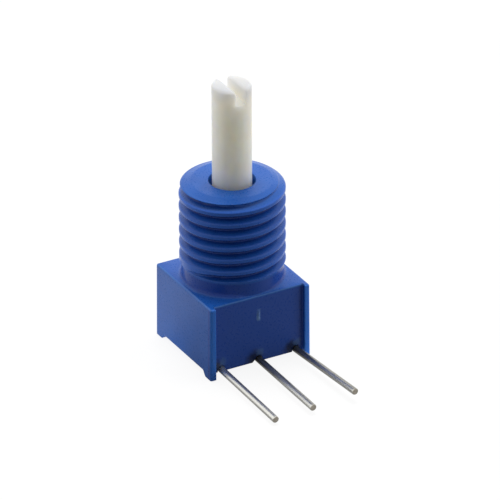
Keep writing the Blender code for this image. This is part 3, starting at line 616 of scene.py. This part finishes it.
# Blue moulding: faint clouds and fine grain. The crests and the upper edges carry painted
# highlights, the thin ends of the walls are paler with painted light that comes through them, and
# the grooves and the neck are deeper with painted shade. The panel is darker with painted shade,
# the vestige of the gate carries a painted highlight, and at each pin there is painted dark shade
# and a pale painted reflection of the pin.
def blueLook(start, f):
    x, y, z = axes(start)
    radius = x.hypot(y)
    onThread = z.within(f["threadLow"], f["threadHigh"])
    onPanel = y.within(f["panelFrom"], f["panelTo"])
    # painted light: paler crests, upper edges and wall ends; painted shade: darker grooves, neck and panel
    tints = {"crest": onThread * radius.steps(*f["crestFrom"]),
             "root": onThread * radius.within(f["rootFrom"], f["rootTo"]),
             "neck": z.within(f["neckLow"], f["neckHigh"]) * f["neckShare"],
             "edge": z.within(f["edgeLow"], f["edgeHigh"]) * f["edgeShare"],
             "wallEnd": 1 - y.steps(*f["wallEndTo"]),
             "panel": onPanel * (1 - z.steps(*f["panelTop"]))}
    colour = cloudy(start, f)
    for name, share in tints.items():
        colour = share.blend(colour, rgb(*f[name]))

    halfPitch = housing["pinPitch"] / 2
    across = start.math("WRAP", x, halfPitch, -halfPitch)     # from the nearest pin
    cloud = (noise(start, f["markClouds"]) - 0.5) * f["markCloud"]
    # beside each pin on the panel: a dark painted shade and a pale painted reflection of the pin
    for tint, right, up, size, share in f["marks"]:
        away = (across - right).hypot(z - up) + cloud
        mark = 1 - away.steps(size * f["markCore"], size)
        colour = (mark * onPanel * share).blend(colour, rgb(*tint))

    least, more = f["speckleShare"]
    speckle = noise(start, f["speckle"], 1.0).steps(*f["speckleEdge"]) * more + least
    # the vestige of the gate, speckled and painted pale as a painted highlight
    beside = 1 - start.math("ABSOLUTE", x).steps(*f["gateHalf"])
    gate = beside * z.within(f["gateLow"], f["gateHigh"]) * speckle * onPanel
    grain = noise(start, f["grain"], 4.0)
    return {"Base Color": gate.blend(colour, rgb(*f["gate"])),
            "Roughness": f["rough"] + grain * f["roughGrain"], "Normal": bump(start, grain, *f["bump"])}


ivoryFinish = {
    "fixed": {"Specular IOR Level": 0.5, "Subsurface Weight": 1.0, "Subsurface Scale": 0.0028,
              "Subsurface Radius": (1.0, 0.88, 0.66)},
    "light": (251, 248, 238), "shade": (247, 242, 229), "clouds": 700, "cloudEdge": (0.3, 0.7),
    "end": (210, 212, 215), "endFrom": (15.96, 17.06),      # cooler towards the end, in millimetres
    "grain": 8000, "rough": 0.42, "roughGrain": 0.1, "bump": (0.12, 20),
}


def ivoryLook(start, f):
    colour = cloudy(start, f)
    colour = axes(start)[2].steps(*f["endFrom"]).blend(colour, rgb(*f["end"]))
    grain = noise(start, f["grain"], 4.0)
    return {"Base Color": colour, "Roughness": f["rough"] + grain * f["roughGrain"],
            "Normal": bump(start, grain, *f["bump"])}


tinFinish = {
    "fixed": {"Metallic": 1.0},
    # darkReflection is the colour of the painted dark reflections, and the streaks lean a little towards it
    "darkReflection": (84, 78, 68), "bright": (242, 241, 234),
    "streaks": (11000.0, 500.0, 11000.0), "streakEdge": (0.3, 0.75), "streakShare": 0.15,
    "cut": (160, 152, 138), "cutRim": (212, 206, 194), "core": 6000,
    "rough": 0.32, "roughStreaks": 0.1, "roughCut": 0.15, "bump": (0.15, 10),
}


# Tinned wire: streaks drawn along it, a painted highlight and painted dark reflections along its sides, and
# a cut end that shows the core.
def tinLook(start, f):
    streaks = noise(start, 1.0, 3.0, f["streaks"])
    tone, cut = (start.node("Attribute", {"attribute_name": name}, out="Fac")
                 for name in ("tone", "cut"))
    # the level mixes the painted reflections in tone with a little of the streaks
    level = tone * (1 - f["streakShare"]) + streaks.steps(*f["streakEdge"]) * f["streakShare"]
    colour = level.steps(0.0, 1.0).blend(rgb(*f["darkReflection"]), rgb(*f["bright"]))
    core = noise(start, f["core"], 4.0).blend(rgb(*f["cut"]), rgb(*f["cutRim"]))
    return {"Base Color": cut.blend(colour, core),
            "Roughness": f["rough"] + streaks * f["roughStreaks"] + cut * f["roughCut"],
            "Normal": bump(start, streaks, *f["bump"])}


rubberFinish = {"fixed": {"Specular IOR Level": 0.3}, "dark": (16, 16, 17), "light": (34, 33, 33),
                "grain": (6000, 5.0), "rough": 0.65, "roughGrain": 0.2, "bump": (0.3, 30)}
springFinish = {"fixed": {"Metallic": 1.0}, "dark": (196, 160, 98), "light": (226, 197, 138),
                "grain": (1.0, 4.0, (1500.0, 22000.0, 1500.0)),     # rolled strip: fine lines one way
                "rough": 0.2, "roughGrain": 0.2, "bump": (0.2, 8)}
silverFinish = {"fixed": {"Metallic": 0.9}, "dark": (178, 175, 168), "light": (214, 212, 206),
                "grain": (16000, 4.0), "rough": 0.35, "roughGrain": 0.2, "bump": (0.3, 15)}
solderFinish = {"fixed": {"Metallic": 1.0}, "dark": (168, 169, 173), "light": (208, 208, 210),
                "grain": (3500, 4.0), "rough": 0.18, "roughGrain": 0.25, "bump": (0.2, 20)}


# The plain look: one grain mixes two tones, and moves the roughness and the bump with them.
def grainLook(start, f):
    grain = noise(start, *f["grain"])
    return {"Base Color": grain.blend(rgb(*f["dark"]), rgb(*f["light"])),
            "Roughness": f["rough"] + grain * f["roughGrain"], "Normal": bump(start, grain, *f["bump"])}


ceramicFinish = {
    "fixed": {}, "dark": (214, 211, 201), "light": (230, 227, 219), "grain": (5000, 6.0),
    "rough": 0.5, "roughGrain": 0.2, "bump": (0.3, 20),
    "speck": (168, 162, 150), "specks": 14000, "speckEdge": (0.62, 0.7), "speckShare": 0.5,
}


def ceramicLook(start, f):
    look = grainLook(start, f)
    specks = noise(start, f["specks"], 2.0).steps(*f["speckEdge"]) * f["speckShare"]
    look["Base Color"] = specks.blend(look["Base Color"], rgb(*f["speck"]))
    return look


carbonFinish = {
    "fixed": {}, "dark": (20, 20, 22), "light": (38, 37, 38), "grain": (12000, 4.0),
    "rough": 0.55, "roughGrain": 0.1, "bump": (0.3, 15),
    "pathRadius": 1.85, "pathEdge": (0.06, 0.14), "pathShine": 0.25,
}


def carbonLook(start, f):     # printed film with the wiper's polished path round its middle
    look = grainLook(start, f)
    x, y, _ = axes(start)
    fromPath = start.math("ABSOLUTE", x.hypot(y) - f["pathRadius"])
    look["Roughness"] = look["Roughness"] - (1 - fromPath.steps(*f["pathEdge"])) * f["pathShine"]
    return look


resinFinish = {
    "fixed": {}, "dark": (18, 42, 104), "light": (28, 58, 130), "clouds": 500,
    "pit": (10, 22, 60), "pits": 2600, "pitEdge": (0.7, 0.76),
    "rough": 0.22, "roughClouds": 0.15, "bump": (0.4, 30),
}


def resinLook(start, f):     # cast resin with faint clouds and a few pinholes
    clouds = noise(start, f["clouds"])
    pits = noise(start, f["pits"], 1.0).steps(*f["pitEdge"])
    colour = clouds.blend(rgb(*f["dark"]), rgb(*f["light"]))
    return {"Base Color": pits.blend(colour, rgb(*f["pit"])),
            "Roughness": f["rough"] + clouds * f["roughClouds"],
            "Normal": bump(start, 1 - pits, *f["bump"])}


makeHousing(makeMaterial("blueMoulding", blueLook, blueFinish))
makeShaft(makeMaterial("ivoryMoulding", ivoryLook, ivoryFinish))
tinned = makeMaterial("tinnedWire", tinLook, tinFinish)
for number in (1, 2, 3):
    makePin(number, tinned)
makeResin(makeMaterial("castResin", resinLook, resinFinish))
carriedOver = (     # the nodes that stay, with a finish of their own
    ("sealRubber", grainLook, rubberFinish, ["shaft_seal"]),
    ("springStrip", grainLook, springFinish, ["wiper"]),
    ("firedCeramic", ceramicLook, ceramicFinish, ["element_substrate"]),
    ("carbonFilm", carbonLook, carbonFinish, ["resistive_track"]),
    ("silverFilm", grainLook, silverFinish, ["collector_track", "termination_1", "termination_3"]),
    ("brightSolder", grainLook, solderFinish, ["solder_1", "solder_2", "solder_3"]),
)
for title, look, finish, names in carriedOver:
    material = makeMaterial(title, look, finish)
    for name in names:
        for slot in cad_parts[name].material_slots:
            slot.material = material
print("pieces made and finished")


# Lengths are in millimetres and angles in degrees.
studio = {
    "azimuth": -28.98, "elevation": 28.273, "roll": -0.25, "distance": 360.582,
    "shiftRight": 1.019, "shiftUp": 5.632, "focal": 6000, "frameWidth": 500, "sensor": 36.0,
    "floorHalf": 1500.0, "floorAlbedo": 0.12, "floorDrop": 0.003, "floorGlow": 0.9,
    # A light tent stands all round and is open in front. These are its levels of light at the left,
    # the right, the back and the opening, then those of the floor, and what mirrors see of the floor.
    "tent": (0.98, 1.4, 0.75, 0.02), "tentTop": 0.65,
    "floor": (0.85, 0.9, 0.65, 0.08), "gloss": (0.7, 1.0, 1.0, 0.33),
    "openAzimuth": -25, "openHalf": 60, "glossHalf": 100, "openBlur": 12, "brow": (72, 88),
    "behindEdge": (0.2, 0.8), "sideEdge": (-0.4, 0.4),
    "boxTilt": 14, "boxAway": 300.0, "boxRadius": 60.0, "boxPower": 0.40,
}


def heading(azimuth, elevation=0.0):     # azimuth 0 looks along +Y from the front
    turn, rise = math.radians(azimuth), math.radians(elevation)
    return Vector((math.sin(turn) * math.cos(rise), -math.cos(turn) * math.cos(rise), math.sin(rise)))


# 1 for the rays that should see plain white: those of the camera, of mirrors and of glass.
def seenDirectly(start):
    camera, glossy, glass = (start.node("LightPath", out=name)
                             for name in ("Is Camera Ray", "Is Glossy Ray", "Is Transmission Ray"))
    return start.math("MAXIMUM", start.math("MAXIMUM", camera, glossy), glass)


# The level of light in a direction round the part. It goes smoothly from the left's level to the
# right's, behind the part to the back's, and inside the opening to that of the open front.
def roundTent(start, direction, levels, openHalf):
    left, right, back, front = levels
    flat = start.node("VectorMath", {"operation": "MULTIPLY"}, {0: direction, 1: (1.0, 1.0, 0.0)})
    flat = start.node("VectorMath", {"operation": "NORMALIZE"}, {0: flat})

    def towards(azimuth):
        return start.node("VectorMath", {"operation": "DOT_PRODUCT"}, {0: flat, 1: heading(azimuth)},
                          out="Value")

    facing, sideways = towards(studio["openAzimuth"]), towards(studio["openAzimuth"] + 90)
    edge = [math.cos(math.radians(openHalf + turn * studio["openBlur"])) for turn in (1, -1)]
    opening = facing.steps(*edge)
    behind, rightHand = (0 - facing).steps(*studio["behindEdge"]), sideways.steps(*studio["sideEdge"])
    sides = rightHand * (right - left) + left
    return opening * front + (1 - opening) * (behind * back + (1 - behind) * sides)


# The floor lights the part as a pale sheet would, and glows up to white for the rays that see it.
# In mirrors it is a tone darker in front.
def paperLook(start, f):
    place = start.node("TexCoord", out="Object")
    level = roundTent(start, place, f["floor"], f["openHalf"])
    gloss = roundTent(start, place, f["gloss"], f["glossHalf"])
    seen, glossy = seenDirectly(start), start.node("LightPath", out="Is Glossy Ray")
    white = 1 - glossy * (1 - gloss)
    return {"Emission Color": seen * white + (1 - seen) * level}


def makeFloor():
    s = studio
    low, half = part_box("housing")[0].z / mm - s["floorDrop"], s["floorHalf"]
    corners = np.array([(-half, -half, low), (half, -half, low), (half, half, low), (-half, half, low)])
    floor = addMesh("floor", corners, [(0, 1, 2, 3)])
    fixed = {"Base Color": (*[s["floorAlbedo"]] * 3, 1.0), "Roughness": 1.0, "Specular IOR Level": 0.0,
             "Emission Strength": s["floorGlow"]}
    floor.data.materials.append(makeMaterial("floorPaper", paperLook, {**s, "fixed": fixed}))


# The world is the tent. Above the brow of its open front it is lit again, all the way over.
def makeWorld():
    s = studio
    world = bpy.data.worlds.new("tent")
    world.use_nodes = True
    world.cycles.sampling_method = "NONE"
    bpy.context.scene.world = world
    start = Socket(world.node_tree)
    direction = start.node("TexCoord", out="Generated")
    height = start.node("SeparateXYZ", inputs={"Vector": direction}, out="Z")
    overhead = height.steps(*(math.sin(math.radians(angle)) for angle in s["brow"]))
    around = roundTent(start, direction, s["tent"], s["openHalf"])
    level = overhead * s["tentTop"] + (1 - overhead) * around
    seen = seenDirectly(start)
    background = world.node_tree.nodes["Background"]
    background.inputs["Color"].default_value = (1, 1, 1, 1)
    world.node_tree.links.new((seen + (1 - seen) * level).socket, background.inputs["Strength"])


# A round soft box above the part and a little behind it, unseen by the camera and by mirrors.
def makeSoftBox():
    s = studio
    data = bpy.data.lights.new("softBox", "AREA")
    data.shape, data.size, data.energy = "DISK", 2 * s["boxRadius"] * mm, s["boxPower"]
    box = bpy.data.objects.new("softBox", data)
    box.location = heading(s["openAzimuth"] + 180, 90 - s["boxTilt"]) * s["boxAway"] * mm
    box.rotation_euler = box.location.to_track_quat("Z", "Y").to_euler()
    box.visible_camera = box.visible_glossy = box.visible_transmission = False
    bpy.context.scene.collection.objects.link(box)


def makeCamera():
    s = studio
    backward = heading(s["azimuth"], s["elevation"])
    right = Vector((0, 0, 1)).cross(backward).normalized()
    up = backward.cross(right)
    roll = math.radians(s["roll"])
    right, up = (right * math.cos(roll) + up * math.sin(roll),
                 up * math.cos(roll) - right * math.sin(roll))
    ground = Vector((0, 0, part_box("housing")[0].z / mm))
    eye = right * s["shiftRight"] + up * s["shiftUp"] + backward * s["distance"] + ground
    data = bpy.data.cameras.new("camera")
    data.sensor_width = s["sensor"]
    data.lens = s["focal"] / s["frameWidth"] * s["sensor"]
    data.clip_start, data.clip_end = 0.01, 10.0
    camera = bpy.data.objects.new("camera", data)
    bpy.context.scene.collection.objects.link(camera)
    camera.matrix_world = Matrix.Translation(eye * mm) @ Matrix((right, up, backward)).transposed().to_4x4()
    bpy.context.scene.camera = camera


makeFloor()
makeWorld()
makeSoftBox()
makeCamera()
bpy.context.scene.view_settings.view_transform = "Standard"
print("studio made")
